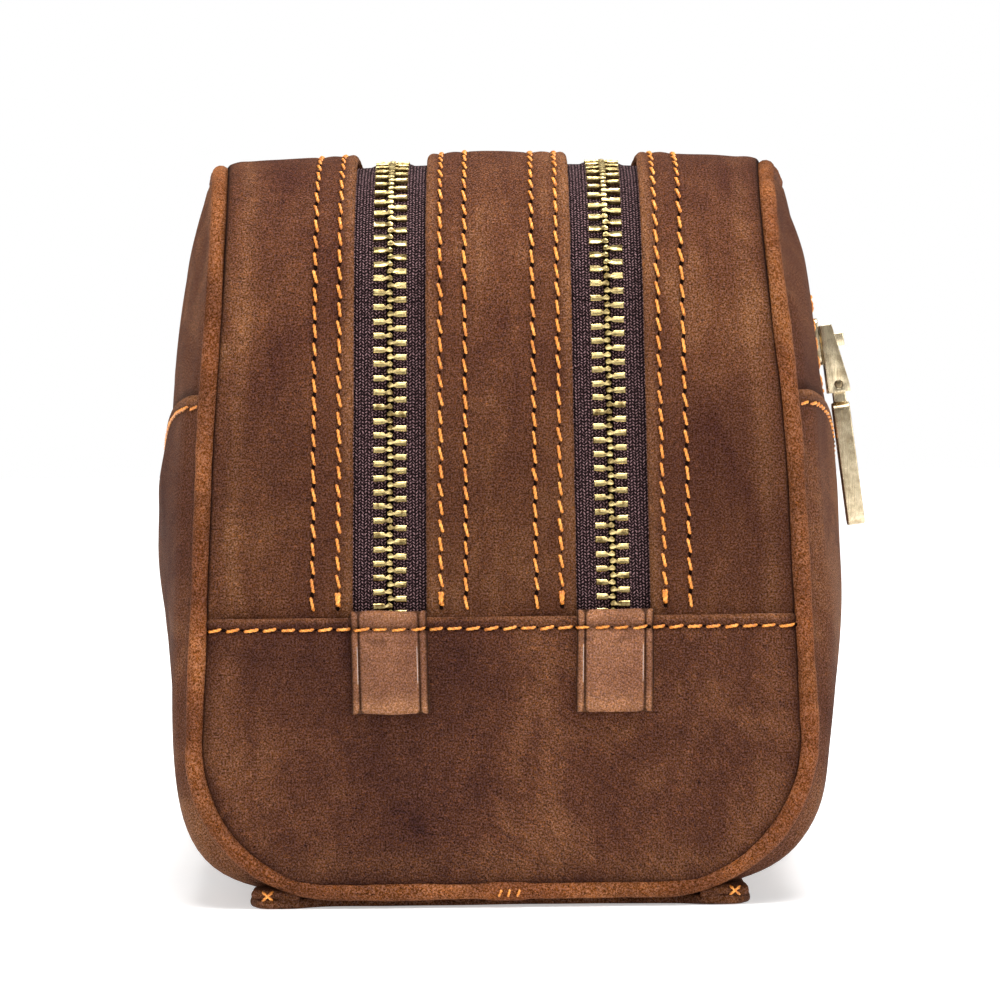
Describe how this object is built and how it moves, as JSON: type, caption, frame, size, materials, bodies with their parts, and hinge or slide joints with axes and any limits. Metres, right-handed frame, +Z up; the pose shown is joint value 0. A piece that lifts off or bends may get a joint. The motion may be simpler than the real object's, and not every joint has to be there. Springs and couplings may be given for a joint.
{
  "type": "shaving kit bag",
  "caption": "Leather wash bag for shaving things: rounded box with zips over the top, piped sides, folded end tabs and a zipped side pocket.",
  "frame": {"origin": "middle of the flat base, on the surface that the bag stands on", "axes": "+Z up; +Y along the bag; +X to the side with the pocket"},
  "size_m": [0.132, 0.24, 0.1401],
  "materials": {
    "leather": "waxed pull-up leather, mottled warm brown",
    "dark_leather": "waxed leather, darker brown, creased",
    "tab_leather": "waxed leather, folded",
    "piping_leather": "thin leather over cord",
    "zip_tape": "dark brown woven tape",
    "zip_teeth": "pale antique brass",
    "lining": "brown woven lining",
    "brass": "brushed antique brass",
    "pin_brass": "turned brass"
  },
  "bodies": {
    "root": {"front_upper_panel": "leather", "back_upper_panel": "leather", "front_lower_panel": "leather", "back_lower_panel": "leather", "centre_strip": "leather", "front_strip": "leather", "back_strip": "leather", "near_end_panel": "dark_leather", "far_end_panel": "dark_leather", "base_panel": "dark_leather", "near_front_tab": "tab_leather", "near_back_tab": "tab_leather", "far_front_tab": "tab_leather", "far_back_tab": "tab_leather", "piping": "piping_leather", "front_zip_inner_tape": "zip_tape", "front_zip_end_tapes": "zip_tape", "back_zip_inner_tape": "zip_tape", "back_zip_end_tapes": "zip_tape", "pocket_zip_upper_tape": "zip_tape", "pocket_zip_lower_tape": "zip_tape", "front_zip_inner_teeth": "zip_teeth", "front_zip_end_teeth": "zip_teeth", "back_zip_inner_teeth": "zip_teeth", "back_zip_end_teeth": "zip_teeth", "pocket_zip_upper_teeth": "zip_teeth", "pocket_zip_lower_teeth": "zip_teeth", "pocket_zip_stops": "zip_teeth", "front_lining": "lining", "back_lining": "lining", "pocket_lining": "lining", "divider": "lining"},
    "front_mouth": {"front_mouth_flap": "leather", "front_zip_mouth_tape": "zip_tape", "front_zip_mouth_teeth": "zip_teeth"},
    "back_mouth": {"back_mouth_flap": "leather", "back_zip_mouth_tape": "zip_tape", "back_zip_mouth_teeth": "zip_teeth"},
    "front_slider": {"front_slider": "brass"},
    "front_link": {"front_puller_link": "brass", "front_puller_pin": "pin_brass"},
    "front_bar": {"front_puller_bar": "brass"},
    "back_slider": {"back_slider": "brass"},
    "back_link": {"back_puller_link": "brass", "back_puller_pin": "pin_brass"},
    "back_bar": {"back_puller_bar": "brass"},
    "pocket_slider": {"pocket_slider": "brass"},
    "pocket_link": {"pocket_puller_link": "brass", "pocket_puller_pin": "pin_brass"},
    "pocket_bar": {"pocket_puller_bar": "brass"}
  },
  "joints": [
    {"name": "front_mouth_fold", "type": "hinge", "parent": "root", "child": "front_mouth", "pos_m": [0.0485, 0, 0.13373], "axis": [0, 1, 0], "range_deg": [0, 110]},
    {"name": "front_slider_run", "type": "slide", "parent": "root", "child": "front_slider", "axis": [0, 1, 0], "range_m": [-0.168, 0]},
    {"name": "front_link_swivel", "type": "hinge", "parent": "front_slider", "child": "front_link", "pos_m": [0.0195, 0.0876, 0.13686], "axis": [0, 0, 1], "range_deg": [-30, 90]},
    {"name": "front_bar_swing", "type": "hinge", "parent": "front_link", "child": "front_bar", "pos_m": [0.0278, 0.0876, 0.13781], "axis": [0, -1, 0], "range_deg": [0, 110]},
    {"name": "back_mouth_fold", "type": "hinge", "parent": "root", "child": "back_mouth", "pos_m": [-0.0485, 0, 0.13373], "axis": [0, -1, 0], "range_deg": [0, 110]},
    {"name": "back_slider_run", "type": "slide", "parent": "root", "child": "back_slider", "axis": [0, 1, 0], "range_m": [-0.168, 0]},
    {"name": "back_link_swivel", "type": "hinge", "parent": "back_slider", "child": "back_link", "pos_m": [-0.0195, 0.0876, 0.13686], "axis": [0, 0, -1], "range_deg": [-30, 90]},
    {"name": "back_bar_swing", "type": "hinge", "parent": "back_link", "child": "back_bar", "pos_m": [-0.0278, 0.0876, 0.13781], "axis": [0, 1, 0], "range_deg": [0, 110]},
    {"name": "pocket_slider_run", "type": "slide", "parent": "root", "child": "pocket_slider", "axis": [0, 1, 0], "range_m": [0, 0.136]},
    {"name": "pocket_link_swivel", "type": "hinge", "parent": "pocket_slider", "child": "pocket_link", "pos_m": [0.06107, -0.0716, 0.10105], "axis": [0.9925, 0, 0.1219], "range_deg": [-90, 30]},
    {"name": "pocket_bar_swing", "type": "hinge", "parent": "pocket_link", "child": "pocket_bar", "pos_m": [0.06303, -0.0716, 0.09293], "axis": [0, -1, 0], "range_deg": [0, 110]}
  ]
}
